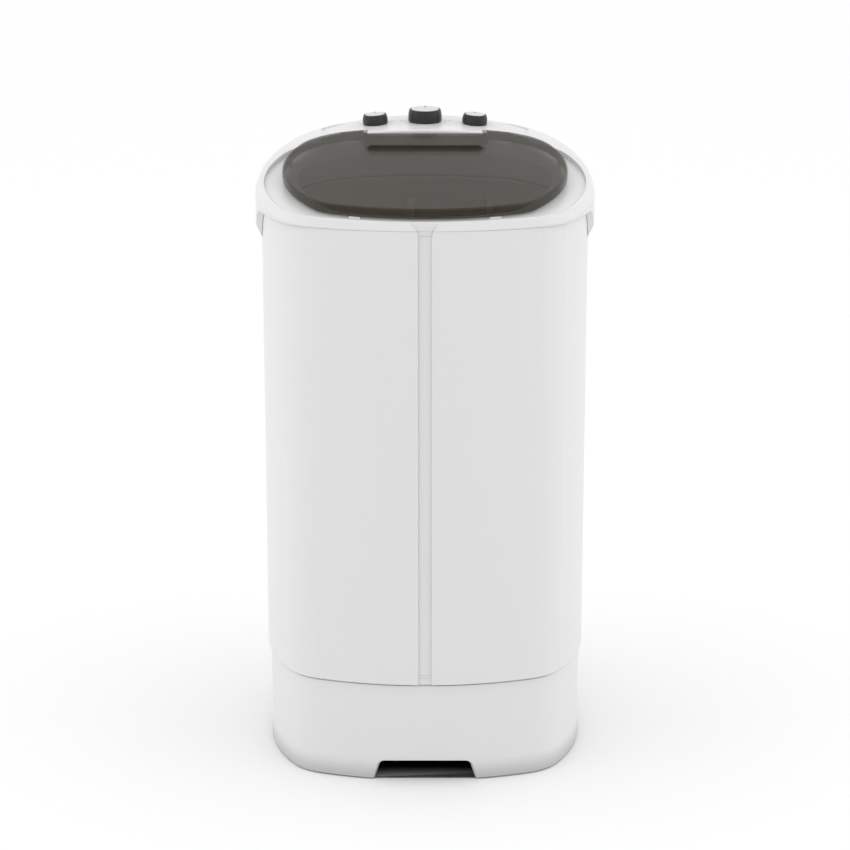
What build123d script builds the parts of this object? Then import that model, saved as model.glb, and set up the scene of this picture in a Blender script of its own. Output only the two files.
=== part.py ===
from build123d import *
from collections import namedtuple
import math
import os

os.makedirs("parts", exist_ok=True)

# A top-loading washing machine: millimetres, +Z up, the front faces -Y.
# The origin is on the floor under the middle of the outer box.

# Outer casing
collar_width = 500.0
collar_depth = 545.0
cabinet_width = 482.0
cabinet_depth = 536.0
floor_gap = 2.0
base_height = 153.0
cabinet_height = 687.0
band_height = 13.0
band_depth = 5.0
rear_rise = 47.0
cabinet_wall = 3.0
base_wall = 3.5
base_inset = 4.5
collar_wall = 3.0
lip_height = 31.0
lip_taper = 18.0
lap_height = 12.0
lap_inset = 7.0
seam_shadow = 3.0
fit_gap = 0.3
rise_start = 118.0
rise_end = 172.0
groove_width = 19.0
groove_depth = 3.6
flare_radius = 22.0
rim_edge_radius = 3.0
rise_feather = 16.0
rise_plane = 232.0
seat_width = 18.0
flange_width = 22.0
ledge_width = 18.0
case_screw_inset = 12.5
deck_screw_inset = 12.0
screw_rows = (62.0, 262.0, 466.0)
screw_radius = 2.4
screw_hole_radius = 2.5
screw_head_radius = 4.6
screw_head_height = 3.0
screw_slot = 1.0
boss_radius = 5.5
boss_height = 24.0
deck_boss_height = 9.0
cut_margin = 60.0

# Base: the notch at the front, the feet and the service cover
base_flange = 30.0
notch_top_width = 133.0
notch_bottom_width = 150.0
notch_height = 28.0
notch_corner_radius = 8.0
notch_reach = 60.0
notch_return = 34.0
notch_flare = 7.0
notch_flare_depth = 16.0
foot_places = ((178.0, 95.0), (150.0, 435.0))
foot_radius = 16.0
foot_recess = 3.0
foot_stem = 5.0
foot_socket = 12.0
rear_flat_depth = 20.0
rear_flat_half = 96.0
rear_flat_sill = 14.0
window_width = 150.0
window_height = 84.0
cover_lap = 14.0
cover_thickness = 3.0
outlet_x = -42.0
outlet_radius = 13.0
outlet_bore = 10.0
outlet_flange = 22.0
outlet_flange_thickness = 3.0
outlet_tail = 13.0
outlet_inner = 22.0
outlet_barbs = 2
outlet_barb_pitch = 3.5
gland_x = 42.0
gland_radius = 7.0
gland_bore = 3.6
gland_head = 10.0
gland_head_thickness = 4.0

# Lid and the recess that it lies in
lid_width = 422.0
lid_depth = 439.0
lid_front_inset = 6.0
lid_height = 15.3
lid_wall = 2.6
lid_lift = 2.6
lid_slope = 0.0687
lid_edge_radius = 3.5
notch_width = 190.0
notch_start = 408.5
recess_margin = 26.0
recess_front_lift = 0.2
recess_slope = 0.063
recess_rear = 431.0
mouth_inset = 22.0
mouth_rear = 372.0
hinge_from_front = 423.0
hinge_below_lid_top = 9.0
ear_radius = 5.5
ear_length = 10.0
bumper_length = 16.0
bumper_places = ((100.0, 20.0), (207.0, 300.0))
pin_radius = 3.0
pin_gap = 0.08
tongue_width = 177.0
tongue_start = 415.0
tongue_edge_radius = 3.0
well_start = 389.0
well_half = 94.5
well_depth = 10.5
well_corner_radius = 6.0

# Console
console_half_width = 160.0
console_rear_inset = 9.0
console_lift = 3.0
console_front_line = 434.0
console_clear_half = 132.0
lid_side_gap = 3.5
crown_radius = 1160.0
overlay_thickness = 0.8
overlay_inset = 4.0
knob_row = 484.0
side_knob_row = 476.0
side_knob_offset = 77.0
spindle_radius = 3.0
spindle_gap = 0.06
knob_lift = 0.8
pad_depth = 7.0
pad_radius = 24.0
console_drop = 12.0
bushing_radius = 4.2
bushing_length = 14.0
bushing_flange = 1.0

# Tub and drive
tub_centre = 222.0
tub_radius = 207.0
tub_wall = 3.0
tub_floor = 235.0
tub_draft = 12.0
tub_corner_radius = 22.0
pan_draft = 3.0
plate_thickness = 3.0
gasket_height = 3.0
recess_radius = 166.0
pulsator_recess_depth = 18.0
tub_ribs = 6
rib_radius = 9.0
rib_low = 330.0
rib_high = 635.0
web_angles = (-30.0, 0.0, 30.0, 180.0, 210.0)
web_start = 92.0
web_length = 62.0
web_height = 12.0
drain_x = -110.0
drain_from_centre = 60.0
drain_radius = 13.0
drain_bore = 10.0
drain_length = 14.0
hose_radius = 16.0
hose_bend = 45.0
clamp_width = 8.0
clamp_thickness = 1.5
shaft_radius = 8.0
shaft_neck = 6.0
shaft_shoulder = 232.0
shaft_high = 249.0
housing_flange = 55.0
housing_flange_thickness = 6.0
housing_radius = 22.0
housing_neck = 19.0
housing_low = 126.0
housing_high = 227.0
housing_web_drop = 50.0
housing_bolt_circle = 45.0
bushing_outer = 12.0
bushing_height = 22.0
seal_outer = 15.0
seal_height = 8.0
pulsator_low = 221.0
pulsator_radius = 158.0
pulsator_rim = 8.0
pulsator_rise = 26.0
pulsator_dome = 34.0
pulsator_slope_start = 96.0
pulsator_hub = 24.0
pulsator_fillet = 12.0
pulsator_vanes = 5
pulsator_sweep = 26.0
vane_height = 26.0
vane_taper = 12.0
pulsator_screw_depth = 15.0
cap_radius = 15.0
cap_height = 5.0
bracket_front = 118.0
bracket_rear = 62.0
bracket_half = 72.0
bracket_thickness = 3.0
bracket_lip = 14.0
slot_travel = 6.0
bracket_bolt_across = 56.0
bracket_bolt_rows = (-98.0, 98.0)
motor_offset = 168.0
motor_radius = 62.0
motor_low = 124.0
motor_high = 200.0
motor_lug = 6.0
motor_stud = 46.0
motor_edge_radius = 8.0
motor_fins = 24
motor_fin_reach = 4.0
motor_shaft_radius = 6.0
rotor_radius = 36.0
damper_radius = 9.0
damper_bore = 4.2
bolt_head = 5.0
fan_radius = 48.0
fan_hub = 12.0
fan_height = 10.0
fan_blades = 10
pulley_level = 100.0
pulley_thickness = 16.0
pulley_hub = 22.0
pulley_spokes = 5
pulley_spoke_half = 7.0
pulley_window_radius = 5.0
groove_radial = 8.0
nut_radius = 10.0
nut_height = 8.0
driven_pulley_radius = 100.0
motor_pulley_radius = 25.0
belt_width = 10.0
belt_thickness = 7.0
capacitor_radius = 20.0
capacitor_low = 112.0
capacitor_high = 186.0
clip_height = 12.0
clip_thickness = 1.5
clip_arm_width = 6.0
harness_x = 25.0
harness_radius = 5.0
harness_top_from_front = 484.0
harness_from_front = 462.0
harness_clip_levels = (300.0, 520.0, 740.0)
terminal_width = 26.0
terminal_height = 36.0

# Controls
knob_radius = 26.1
knob_height = 18.7
knob_cap_radius = 21.5
side_knob_radius = 19.5
side_knob_height = 14.6
side_knob_cap_radius = 15.0
knob_draft = 2.0
knob_swell = 0.4
knob_widest = 0.35
knob_edge = 1.0
knob_wall = 2.2
knob_hub = 6.5
knob_web = 1.5
knob_web_drop = 4.0
knob_cap_height = 2.5
knob_cap_proud = 0.8
spindle_depth = 10.0
spindle_flat = 7.0
timer_size = 58.0
timer_height = 34.0
switch_size = 34.0
switch_height = 26.0
switch_blades = 3
blade_length = 6.0
blade_width = 4.0

# Lint filter on the tub's rear wall
filter_offset = 165.0
filter_left = -22.0
filter_right = 98.0
filter_top = 806.0
filter_length = 150.0
filter_lean = 16.0
filter_thickness = 4.0
filter_mesh_thickness = 0.8
filter_border = 7.0
filter_slot = 54.0
filter_slot_height = 6.5
filter_bars = 4
filter_rim = 8.0
filter_lip = 2.4
filter_lip_width = 4.0
filter_travel = 28.0

Bends = namedtuple("Bends", "front corner rear_side rear_corner corner_radius side_radius rear_radius")
body_bends = Bends(20.3, 60.0, 24.0, 66.0, 80.0, 290.0, 200.0)
lid_bends = Bends(22.0, 58.0, 20.0, 70.0, 53.0, 335.0, 125.0)

front_y = -collar_depth / 2
rear_y = collar_depth / 2
seam_z = floor_gap + base_height
cabinet_top = seam_z + cabinet_height
ridge_z = cabinet_top + band_height
rim_slope = rear_rise / collar_depth
console_z = ridge_z + rear_rise + console_lift
lip_z = cabinet_top - lip_height
lip_bottom = lip_z - lip_taper
flange_z = seam_z + lap_height
plate_z = cabinet_top - plate_thickness
rear_flat_y = front_y + cabinet_depth - base_inset - rear_flat_depth
rear_flat_z = (floor_gap + seam_z) / 2
pulley_top = pulley_level + pulley_thickness / 2
pan_bottom = tub_floor - pulsator_recess_depth - tub_wall
bracket_z = pan_bottom - housing_flange_thickness - bracket_thickness
capacitor_x = bracket_half + 2 * clip_thickness + fit_gap + capacitor_radius
tub_y = front_y + tub_centre
motor_y = tub_y + motor_offset
knob_y = front_y + knob_row
side_knob_y = front_y + side_knob_row
lid_rear = lid_front_inset + lid_depth
filter_y = tub_y + filter_offset
drain_y = tub_y + drain_from_centre


def outline(width, depth, front, bends, inset=0.0):
    # Six arcs a side, tangent to each other: front, corner, side, rear side, rear corner, rear.
    half = width / 2
    a, b, c, d = (math.radians(turn) for turn in bends[:4])
    corner_across = bends.corner_radius * (math.sin(b) - math.sin(a))
    side_across = bends.side_radius * (1 - math.sin(b))
    front_radius = (half - corner_across - side_across) / math.sin(a)
    widest = front_radius * (1 - math.cos(a))
    widest += bends.corner_radius * (math.cos(a) - math.cos(b)) + bends.side_radius * math.cos(b)
    lean = (1 - math.sin(d)) / math.cos(d)
    across = bends.rear_radius * (math.cos(c) - math.cos(d))
    along = bends.rear_radius * (math.sin(d) - math.sin(c))
    rear_side = depth - widest - along - lean * (half - across)
    rear_side /= math.sin(c) - lean * (1 - math.cos(c))
    rear_radius = (half - rear_side * (1 - math.cos(c)) - across) / math.cos(d)
    arcs = [
        (front_radius, bends.front),
        (bends.corner_radius, bends.corner - bends.front),
        (bends.side_radius, 90 - bends.corner),
        (rear_side, bends.rear_side),
        (bends.rear_radius, bends.rear_corner - bends.rear_side),
        (rear_radius, 90 - bends.rear_corner),
    ]
    point = Vector(0, front + inset)
    heading = Vector(1, 0)
    right = Curve()
    for radius, turn in arcs:
        arc = JernArc(point, heading, radius - inset, turn)
        right += arc
        point = arc @ 1
        heading = arc % 1
    return make_face(right + mirror(right, Plane.YZ))


def collar_outline(inset=0.0):
    return outline(collar_width, collar_depth, front_y, body_bends, inset)


def cabinet_outline(inset=0.0):
    return outline(cabinet_width, cabinet_depth, front_y, body_bends, inset)


def lid_outline(inset=0.0):
    return outline(lid_width, lid_depth, front_y + lid_front_inset, lid_bends, inset)


def mouth_outline(inset=0.0):
    front = lid_front_inset + mouth_inset
    width = lid_width - 2 * mouth_inset
    return outline(width, mouth_rear - front, front_y + front, lid_bends, inset)


def prism(face, low, high):
    return extrude(Pos(0, 0, low) * face, high - low, dir=(0, 0, 1))


def under(front_z, slope):
    # Everything below a plane that rises towards the rear.
    near = front_y - cut_margin
    far = rear_y + cut_margin
    near_z = front_z + slope * (near - front_y)
    far_z = front_z + slope * (far - front_y)
    side = make_face(Polyline((near, 0), (far, 0), (far, far_z), (near, near_z), close=True))
    return extrude(Plane.YZ * side, collar_width, both=True)


def plan_box(half_width, start, end):
    # A rectangle in plan, from start to end behind the front face.
    middle = front_y + (start + end) / 2
    return Pos(0, middle) * Rectangle(2 * half_width, end - start)


def drum(radius, low, high, x=0.0, y=0.0):
    return Pos(x, y, (low + high) / 2) * Cylinder(radius, high - low)


def tube(radius, bore, low, high, x=0.0, y=0.0):
    return drum(radius, low, high, x, y) - drum(bore, low - 1, high + 1, x, y)


def save(name, *solids):
    whole = solids[0] if len(solids) == 1 else Compound(children=list(solids))
    export_step(whole, f"parts/{name}.step")


def knob_frame(x):
    # The crowned console tips each side knob outwards, square to its surface.
    tilt = math.degrees(math.asin(x / crown_radius))
    height = console_z - crown_radius * (1 - math.cos(math.radians(tilt)))
    y = knob_y if x == 0 else side_knob_y
    return Pos(x, y, height) * Rot(0, tilt, 0)


def crown(drop=0.0):
    middle = Pos(0, 0, console_z - crown_radius) * Rot(90, 0, 0)
    return middle * Cylinder(crown_radius - drop, 2 * collar_depth)


def lid_clearance(grow=0.0):
    swing = plan_box(console_clear_half + grow, 0, console_front_line + grow)
    return lid_outline(-lid_side_gap - grow) + swing


def console_outline(shrink=0.0):
    band = plan_box(console_half_width - shrink, mouth_rear, collar_depth)
    rear = collar_outline(console_rear_inset + shrink) & band
    return rear - lid_clearance(shrink)


def recess_outline(grow=0.0):
    width = lid_width + 2 * recess_margin
    start = lid_front_inset - recess_margin
    wide = outline(width, recess_rear - start, front_y + start, lid_bends, -grow)
    return wide + lid_clearance(grow)


def recess_floor(drop=0.0):
    return under(ridge_z + recess_front_lift - drop, recess_slope)


def groove_cutter(depth, low):
    # A shallow groove down the middle of the front that flares out in a quarter round at the top.
    half = groove_width / 2
    start = ridge_z - flare_radius
    flare = JernArc((half, start), (0, 1), flare_radius, -90)
    tip = (half + flare_radius, ridge_z)
    top = ridge_z + cut_margin
    right = make_face(flare + Polyline(tip, (tip[0], top), (0, top), (0, low), (half, low), (half, start)))
    front_view = right + mirror(right, Plane.YZ)
    slab = extrude(Pos(0, front_y - cut_margin) * (Plane.XZ * front_view), -2 * cut_margin)
    return slab - prism(cabinet_outline(depth), low - 1, top + 1)


def groove_backing(grow=0.0):
    # The wall stands further in behind the groove.
    half = groove_width / 2 + 2 * cabinet_wall + grow
    return plan_box(half, 0, groove_depth + cabinet_wall + grow)


def hinge_axis_z():
    lid_top = ridge_z + lid_lift + lid_height + lid_slope * hinge_from_front
    return lid_top - hinge_below_lid_top


def collar_rim():
    # The band between the crease and the ridge, both of them rounded.
    rim = prism(collar_outline(), lip_z, console_z + cut_margin) & under(ridge_z, rim_slope)
    upper = rim.faces().sort_by(Axis.Z)[-1]
    rim = chamfer(upper.edges(), length=band_depth, length2=band_height)
    level = [edge for edge in rim.edges() if abs((edge % 0.5).Z) < 0.2]
    above = [edge for edge in level if edge.bounding_box().min.Z > lip_z + 1]
    return fillet(above, rim_edge_radius)


def rise_view(shift):
    front = front_y - cut_margin
    low = lip_bottom - 1
    first = (front_y + rise_start + shift, cabinet_top)
    last = (front_y + rise_end + shift, low)
    curve = Spline(first, last, tangents=[(1, 0), (0.6, -1)])
    return make_face(curve + Polyline(last, (front, low), (front, cabinet_top), first))


def front_cut(shift=0.0):
    # All that lies in front of the curve along which the skirt rises to the crease.
    # Beside the cabinet the curve runs further back, so the skirt starts from nothing.
    inner = Plane.YZ.offset(rise_plane) * rise_view(shift)
    outer = Plane.YZ.offset(collar_width / 2 + 1) * rise_view(shift + rise_feather)
    side = loft([inner, outer], ruled=True)
    return extrude(Plane.YZ * rise_view(shift), rise_plane, both=True) + side + mirror(side, Plane.YZ)


def console_block():
    return prism(console_outline(), cabinet_top + collar_wall, console_z + cut_margin) & crown()


def console_tongue():
    # It reaches from the console forwards between the lid's two ears.
    end = lid_rear + lid_side_gap + collar_wall
    tongue = prism(plan_box(tongue_width / 2, tongue_start, end), lip_z, console_z + cut_margin)
    tongue = (tongue & crown()) - recess_floor(collar_wall)
    upper = tongue.faces().sort_by(Axis.Z)[-1]
    return fillet(upper.edges().sort_by(Axis.Y)[0], tongue_edge_radius)


def hinge_well(grow=0.0):
    # The well in front of the tongue, which the lid's notch leaves in shadow.
    well = plan_box(well_half + grow, well_start - grow, tongue_start + grow)
    return fillet(well.vertices().group_by(Axis.Y)[0], well_corner_radius + grow)


def deck_hollow(roof):
    channel = prism(collar_outline(collar_wall), lip_z, cabinet_top) - front_cut(3 * collar_wall)
    hollow = prism(cabinet_outline(-fit_gap), lip_bottom - 1, cabinet_top) + channel
    hollow += prism(cabinet_outline(seat_width), cabinet_top - 1, cabinet_top + collar_wall)
    upper_inset = collar_wall + band_depth
    upper = prism(collar_outline(upper_inset), cabinet_top + collar_wall, roof)
    upper &= under(ridge_z - collar_wall, rim_slope)
    upper -= prism(recess_outline(collar_wall), lip_z, roof) - recess_floor(collar_wall)
    upper -= prism(console_outline(-collar_wall), lip_z, roof) - crown(collar_wall)
    console_hollow = prism(console_outline(collar_wall), cabinet_top + collar_wall, roof)
    return hollow + upper + (console_hollow & crown(collar_wall))


def top_deck():
    skirt = loft([Pos(0, 0, lip_bottom) * cabinet_outline(-fit_gap), Pos(0, 0, lip_z) * collar_outline()])
    deck = skirt + collar_rim()

    # The recess round the lid, then the console block behind it
    roof = console_z + cut_margin
    deck -= prism(recess_outline(), lip_z, roof) - recess_floor()
    deck -= prism(console_outline(), console_z - console_drop, roof)
    deck += console_block()
    deck -= deck_hollow(roof)
    deck += console_tongue()

    # The well in front of the tongue
    well_floor = ridge_z + recess_slope * well_start - well_depth
    deck += prism(hinge_well(collar_wall), well_floor - collar_wall, roof) & recess_floor()
    deck -= prism(hinge_well(), well_floor, roof)

    # The mouth and the flange that hangs round it
    flange_bottom = plate_z + plate_thickness + gasket_height
    deck += prism(mouth_outline(-collar_wall), flange_bottom, roof) & recess_floor()
    deck -= prism(mouth_outline(), lip_z, roof)

    # Bosses over the screws that come up through the tub's plate
    for x, y in screw_places(deck_screw_inset):
        deck += drum(boss_radius, cabinet_top, cabinet_top + deck_boss_height, x, y)
        deck -= drum(screw_hole_radius, plate_z, cabinet_top + deck_boss_height - 1, x, y)
    deck -= overlay_seat()
    deck -= front_cut()
    deck -= groove_cutter(groove_depth, plate_z)

    # Pads and bores for the three controls
    pad = drum(pad_radius, -pad_depth, 1 - collar_wall)
    for x in (-side_knob_offset, 0, side_knob_offset):
        deck += knob_frame(x) * pad
        deck -= knob_frame(x) * Cylinder(spindle_radius + 1, 4 * pad_depth)

    # The bores of the hinge pins, from each side of the tongue
    for side in (-1, 1):
        middle = side * (tongue_width - bushing_length) / 2
        bore = Rot(0, 90, 0) * Cylinder(bushing_radius, bushing_length + fit_gap)
        deck -= Pos(middle, front_y + hinge_from_front, hinge_axis_z()) * bore
    return deck


def cabinet_shell():
    shell = prism(cabinet_outline(), seam_z, cabinet_top)
    cavity = prism(cabinet_outline(cabinet_wall), seam_z - 1, cabinet_top + 1)
    cavity -= prism(groove_backing(), seam_z - 1, cabinet_top + 1)
    shell -= cavity
    shell -= groove_cutter(groove_depth, seam_z - 1)
    foot = cabinet_outline(cabinet_wall - 1) - cabinet_outline(flange_width)
    shell += prism(foot, flange_z, flange_z + cabinet_wall)
    ledge = cabinet_outline(cabinet_wall - 1) - cabinet_outline(ledge_width)
    ledge -= Pos(0, tub_y) * Circle(tub_radius + tub_wall + fit_gap)
    shell += prism(ledge, plate_z - cabinet_wall, plate_z)
    for x, y in screw_places(case_screw_inset):
        shell -= drum(screw_hole_radius, flange_z - 1, flange_z + cabinet_wall + 1, x, y)
    for x, y in screw_places(deck_screw_inset):
        shell -= drum(screw_hole_radius, plate_z - cabinet_wall - 1, plate_z + 1, x, y)
    return shell


def screw_places(inset):
    # Three rows of places down each side, at the same distance inside the outline.
    places = []
    for row in screw_rows:
        strip = cabinet_outline(inset) & plan_box(cabinet_width, row, row + pin_gap)
        reach = strip.bounding_box().max.X
        places += [(-reach, front_y + row), (reach, front_y + row)]
    return places


def base_skirt():
    wall_inset = base_inset
    top = flange_z
    flat = rear_flat_y
    step = seam_z - seam_shadow
    skirt = prism(cabinet_outline(wall_inset), floor_gap, step)
    skirt += prism(cabinet_outline(lap_inset), step, top)
    pocket_y = (flat + rear_y) / 2
    pocket = Pos(0, pocket_y) * Rectangle(2 * rear_flat_half, rear_y - flat)
    low = floor_gap + rear_flat_sill
    high = seam_z - rear_flat_sill
    skirt -= prism(pocket, low, high)
    cavity = prism(cabinet_outline(wall_inset + base_wall), floor_gap + base_wall, step - base_wall)
    cavity += prism(cabinet_outline(lap_inset + base_wall), step - base_wall, top + 1)
    keep = Pos(0, pocket_y - base_wall) * Rectangle(2 * (rear_flat_half + base_wall), rear_y - flat)
    cavity -= prism(keep, low - base_wall, high + base_wall)
    skirt -= cavity
    skirt -= prism(cabinet_outline(wall_inset + base_flange), floor_gap - 1, floor_gap + base_wall + 1)

    # The cut-out at the front, flared towards the front, with its return walls
    view = notch_view()
    cutter = extrude(Pos(0, front_y, floor_gap) * (Plane.XZ * view), -notch_reach)
    mouth = Pos(0, front_y, floor_gap) * (Plane.XZ * notch_view(notch_flare))
    throat = Pos(0, front_y + notch_flare_depth, floor_gap) * (Plane.XZ * view)
    cutter += loft([mouth, throat])
    around = Pos(0, front_y, floor_gap) * (Plane.XZ * notch_view(notch_flare + base_wall))
    frame = extrude(around, -notch_return)
    frame &= prism(cabinet_outline(wall_inset + 1), floor_gap, notch_height + 4 * base_wall)
    skirt += frame
    skirt -= cutter

    skirt -= prism(groove_backing(fit_gap), seam_z - fit_gap, top + 1)

    # Bosses for the case screws and sockets for the feet
    for x, y in screw_places(case_screw_inset):
        skirt += drum(boss_radius, flange_z - boss_height, flange_z, x, y)
        skirt -= drum(screw_hole_radius, flange_z - boss_height - 1, flange_z + 1, x, y)
    for x, y in foot_centres():
        skirt += drum(foot_radius + base_wall, floor_gap, floor_gap + foot_socket, x, y)
        skirt -= drum(foot_radius + fit_gap, floor_gap - 1, floor_gap + foot_recess, x, y)
        skirt -= drum(foot_stem + fit_gap, floor_gap, floor_gap + foot_socket + 1, x, y)

    # The window behind the service cover
    window = Plane.XZ * RectangleRounded(window_width, window_height, notch_corner_radius)
    skirt -= extrude(Pos(0, flat + 1, rear_flat_z) * window, 2 * base_wall)
    for x, z in cover_screw_places():
        skirt -= Pos(x, flat, z) * Rot(90, 0, 0) * Cylinder(screw_hole_radius, 4 * base_wall)
    return skirt


def notch_view(grow=0.0):
    # Seen from the front, narrower towards the top; the lower half lies under the base.
    height = notch_height - floor_gap + grow
    high = notch_top_width / 2 + grow
    low = notch_bottom_width - notch_top_width / 2 + grow
    view = make_face(Polyline((-high, height), (high, height), (low, -height), (-low, -height), close=True))
    return fillet(view.vertices().group_by(Axis.Y)[-1], notch_corner_radius + grow)


def foot_centres():
    return [(side * x, front_y + start) for x, start in foot_places for side in (-1, 1)]


def foot_pads():
    feet = []
    for x, y in foot_centres():
        pad = drum(foot_radius, 0, floor_gap + foot_recess, x, y)
        pad += drum(foot_stem, 0, floor_gap + foot_socket, x, y)
        rim = pad.faces().sort_by(Axis.Z)[0].edges()
        feet.append(chamfer(rim, floor_gap / 2))
    return feet


def rear_cover():
    flat = rear_flat_y
    width = window_width + 2 * cover_lap
    panel = RectangleRounded(width, window_height + 2 * cover_lap, notch_corner_radius)
    cover = extrude(Pos(0, flat, rear_flat_z) * (Plane.XZ * panel), -cover_thickness)
    cover = chamfer(cover.faces().sort_by(Axis.Y)[-1].edges(), cover_thickness / 3)
    rib = Plane.XZ * Rectangle(window_width - cover_lap, cover_thickness)
    for row in (-1, 0, 1):
        place = Pos(0, flat + fit_gap / 3, rear_flat_z + row * window_height / 4)
        cover += extrude(place * rib, 2 * cover_thickness)
    holes = Plane.XZ * (Pos(outlet_x, 0) * Circle(outlet_radius + fit_gap))
    holes += Plane.XZ * (Pos(gland_x, 0) * Circle(gland_radius + fit_gap))
    cover -= extrude(Pos(0, flat, rear_flat_z) * holes, 4 * cover_thickness, both=True)
    clear = Pos(outlet_x, 0) * Circle(outlet_flange + 1) + Pos(gland_x, 0) * Circle(gland_head + 1)
    cover -= extrude(Pos(0, flat, rear_flat_z) * (Plane.XZ * clear), 3 * cover_thickness)
    for x, z in cover_screw_places():
        cover -= Pos(x, flat, z) * Rot(90, 0, 0) * Cylinder(screw_hole_radius, 4 * cover_thickness)
    return cover


def cover_screw_places():
    across = window_width / 2 + cover_lap / 2
    up = window_height / 2 - cover_lap
    return [(x, rear_flat_z + z) for x in (-across, across) for z in (-up, up)]


def screw(length, head_low):
    # A pan-head screw that points up, its head under the face at head_low.
    head = drum(screw_head_radius, head_low - screw_head_height, head_low)
    head = fillet(head.faces().sort_by(Axis.Z)[0].edges(), screw_head_height * 0.6)
    slot = Pos(0, 0, head_low - screw_head_height) * Box(screw_slot, 2 * screw_head_radius, screw_slot)
    return head + drum(screw_radius, head_low, head_low + length) - slot


def cover_screws():
    parts = []
    for x, z in cover_screw_places():
        place = Pos(x, rear_flat_y + cover_thickness, z) * Rot(90, 0, 0)
        parts.append(place * screw(cover_thickness + base_wall, 0))
    return parts


def drain_outlet():
    # A flanged hose tail that leaves the service cover towards the rear.
    tail = drum(outlet_flange, 0, outlet_flange_thickness)
    tail += drum(outlet_radius, -cover_thickness - base_wall - outlet_inner, outlet_tail)
    for step in range(outlet_barbs):
        low = outlet_tail - (step + 1) * outlet_barb_pitch
        barb = Cone(outlet_radius + 1, outlet_radius, outlet_barb_pitch)
        tail += Pos(0, 0, low + outlet_barb_pitch / 2) * barb
    tail -= drum(outlet_bore, -cut_margin, cut_margin)
    return Pos(outlet_x, rear_flat_y + cover_thickness, rear_flat_z) * Rot(-90, 0, 0) * tail


def cord_gland():
    # The grommet of the mains inlet: a stepped rubber bush.
    bush = drum(gland_head, 0, gland_head_thickness)
    bush = fillet(bush.faces().sort_by(Axis.Z)[-1].edges(), gland_head_thickness / 2)
    bush += drum(gland_radius, -cover_thickness - base_wall, gland_head_thickness)
    bush += drum(gland_head, -cover_thickness - gland_head_thickness, -cover_thickness)
    bush -= drum(gland_bore, -cut_margin, cut_margin)
    return Pos(gland_x, rear_flat_y + cover_thickness, rear_flat_z) * Rot(-90, 0, 0) * bush


def basin(grow):
    # The tub's form, grown by its wall: a deep tapered bowl with a pan for the pulsator.
    top = plate_z + plate_thickness / 2
    pan = tub_floor - pulsator_recess_depth - grow
    profile = Polyline(
        (0, pan), (recess_radius + grow, pan), (recess_radius + grow + pan_draft, tub_floor - grow),
        (tub_radius - tub_draft + grow, tub_floor - grow), (tub_radius + grow, top), (0, top), close=True)
    face = make_face(profile)
    low_corner = [v for v in face.vertices() if abs(v.Y - tub_floor + grow) < 0.01]
    low_corner = [v for v in low_corner if v.X > tub_radius - tub_draft + grow - 1]
    face = fillet(low_corner, tub_corner_radius + grow)
    return Pos(0, tub_y, 0) * revolve(Plane.XZ * face, Axis.Z)


def tub():
    body = basin(tub_wall)
    body += prism(cabinet_outline(cabinet_wall + fit_gap) - groove_backing(fit_gap), plate_z, cabinet_top)
    body -= basin(0) - prism(cabinet_outline(), plate_z, cabinet_top)
    opening = mouth_outline(-1) & (Pos(0, tub_y) * Circle(tub_radius))
    body -= prism(opening, plate_z - 1, cabinet_top + 1)

    # Rubbing ribs down the wall
    for index in range(tub_ribs):
        turn = 360 / tub_ribs * (index + 0.5)
        rib = drum(rib_radius, rib_low, rib_high)
        rib = fillet(rib.edges().filter_by(GeomType.CIRCLE), rib_radius * 0.9)
        lean = math.degrees(math.atan(tub_draft / (plate_z - tub_floor)))
        mid = (rib_low + rib_high) / 2
        reach = tub_radius - tub_draft * (plate_z - mid) / (plate_z - tub_floor)
        rib = Pos(reach, 0, mid) * Rot(0, lean, 0) * Pos(0, 0, -mid) * rib
        rib = (Pos(0, tub_y, 0) * Rot(0, 0, turn) * rib) & basin(tub_wall / 2)
        body += rib

    # Centre hole, stiffening webs, bracket bosses and drain tail under the floor
    for turn in web_angles:
        web = Pos(web_start + web_length / 2, 0, pan_bottom - web_height / 2)
        web = web * Box(web_length, tub_wall, web_height + 2)
        body += Pos(0, tub_y, 0) * Rot(0, 0, turn) * web
    for x, y in bracket_screw_places():
        body += drum(boss_radius + 2, bracket_z + bracket_thickness, pan_bottom + 1, x, y)
        body -= drum(screw_hole_radius, bracket_z, pan_bottom - 1, x, y)
    body += drum(drain_radius, pan_bottom - drain_length, pan_bottom + 1, drain_x, drain_y)
    body -= drum(drain_bore, pan_bottom - drain_length - 1, tub_floor, drain_x, drain_y)
    body -= drum(housing_neck + fit_gap, pan_bottom - 1, tub_floor, 0, tub_y)
    for x, y in housing_screw_places():
        body -= drum(screw_hole_radius, pan_bottom - 1, tub_floor, x, y)

    # A gap in the plate for the wiring, and holes for the deck screws
    slot = Pos(harness_x, front_y + harness_top_from_front)
    slot = slot * RectangleRounded(6 * harness_radius, 4 * harness_radius, harness_radius)
    body -= prism(slot, plate_z - 1, cabinet_top + 1)
    for x, y in screw_places(deck_screw_inset):
        body -= drum(screw_hole_radius, plate_z - 1, cabinet_top + 1, x, y)
    return body


def housing_screw_places():
    return [
        (housing_bolt_circle * math.cos(turn), tub_y + housing_bolt_circle * math.sin(turn))
        for turn in (math.pi / 4 + index * math.pi / 2 for index in range(4))
    ]


def bracket_screw_places():
    return [(x, tub_y + y) for x in (-bracket_bolt_across, bracket_bolt_across) for y in bracket_bolt_rows]


def tub_gasket():
    ring = mouth_outline(-collar_wall - 1.5) - mouth_outline(-1.5)
    low = plate_z + plate_thickness
    return prism(ring, low, low + gasket_height)


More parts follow.
